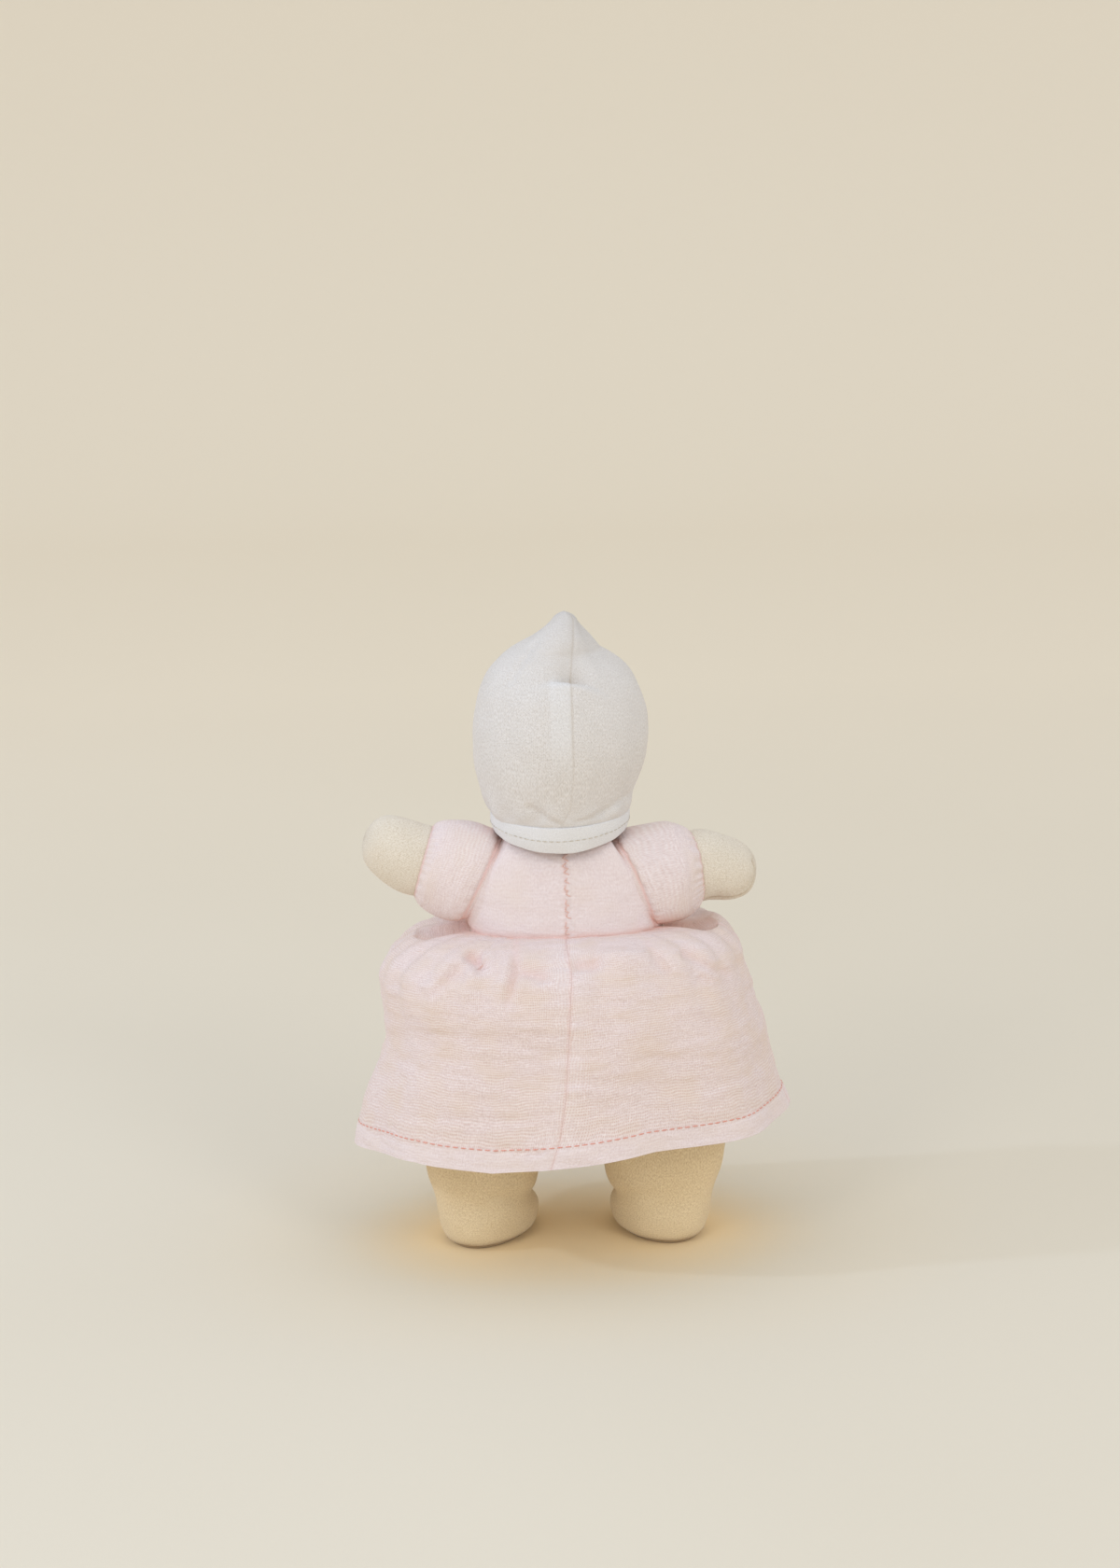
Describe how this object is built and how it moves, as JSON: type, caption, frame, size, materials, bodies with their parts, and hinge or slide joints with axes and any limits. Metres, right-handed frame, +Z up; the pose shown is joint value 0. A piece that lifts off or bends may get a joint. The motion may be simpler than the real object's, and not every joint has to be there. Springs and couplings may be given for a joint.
{
  "type": "soft baby doll",
  "caption": "Small standing baby doll with a moulded rubber head in a pointed bonnet, stuffed cloth body, arms and legs, and a gathered muslin skirt.",
  "frame": {"origin": "on the floor between the feet, at the centre of the doll's width and depth", "axes": "+Z up through the bonnet's point, +X to the doll's left hand, -Y the way the face looks"},
  "size_m": [0.1658, 0.1124, 0.2429],
  "materials": {
    "pink_muslin": "matt double gauze cotton, pale pink",
    "cream_jersey": "matt knitted cotton, cream",
    "white_jersey": "matt knitted cotton, off-white",
    "stuffing": "loose fibre, off-white",
    "pink_thread": "cotton sewing thread, salmon pink",
    "white_thread": "cotton thread, off-white",
    "head_rubber": "satin soft rubber, light skin tone"
  },
  "bodies": {
    "torso": {"torso_filling": "stuffing", "bodice_front": "pink_muslin", "bodice_back_left": "pink_muslin", "bodice_back_right": "pink_muslin", "seat_cover": "cream_jersey", "back_closing_thread": "pink_thread", "skirt_front": "pink_muslin", "skirt_back_left": "pink_muslin", "skirt_back_right": "pink_muslin"},
    "neck": {"neck_casing": "cream_jersey", "neck_filling": "stuffing", "neck_tie": "white_thread"},
    "head": {"head_shell": "head_rubber", "bonnet_left_panel": "white_jersey", "bonnet_right_panel": "white_jersey", "bonnet_face_band": "white_jersey", "bonnet_nape_band": "white_jersey"},
    "left_arm": {"left_sleeve": "pink_muslin", "left_hand_cover": "cream_jersey", "left_arm_filling": "stuffing"},
    "right_arm": {"right_sleeve": "pink_muslin", "right_hand_cover": "cream_jersey", "right_arm_filling": "stuffing"},
    "left_leg": {"left_leg_cover": "cream_jersey", "left_leg_filling": "stuffing"},
    "right_leg": {"right_leg_cover": "cream_jersey", "right_leg_filling": "stuffing"}
  },
  "joints": [
    {"name": "neck_nod", "type": "hinge", "parent": "torso", "child": "neck", "pos_m": [0, 0, 0.1575], "axis": [1, 0, 0], "range_deg": [-8, 8], "stiffness_Nm_per_rad": 0.3},
    {"name": "neck_turn", "type": "hinge", "parent": "neck", "child": "head", "pos_m": [0, 0, 0.1575], "axis": [0, 0, 1], "range_deg": [-35, 35]},
    {"name": "left_shoulder_raise", "type": "hinge", "parent": "torso", "child": "left_arm", "pos_m": [0.0303, 0, 0.1418], "axis": [-0.0523, -0.9986, 0], "range_deg": [-16, 20], "stiffness_Nm_per_rad": 0.1},
    {"name": "right_shoulder_raise", "type": "hinge", "parent": "torso", "child": "right_arm", "pos_m": [-0.0303, 0, 0.1418], "axis": [-0.2588, 0.9659, 0], "range_deg": [-5, 28], "stiffness_Nm_per_rad": 0.1},
    {"name": "left_hip_swing", "type": "hinge", "parent": "torso", "child": "left_leg", "pos_m": [0.0345, 0, 0.062], "axis": [-1, 0, 0], "range_deg": [-35, 40], "stiffness_Nm_per_rad": 0.6},
    {"name": "right_hip_swing", "type": "hinge", "parent": "torso", "child": "right_leg", "pos_m": [-0.0345, 0, 0.062], "axis": [-1, 0, 0], "range_deg": [-35, 40], "stiffness_Nm_per_rad": 0.6}
  ]
}
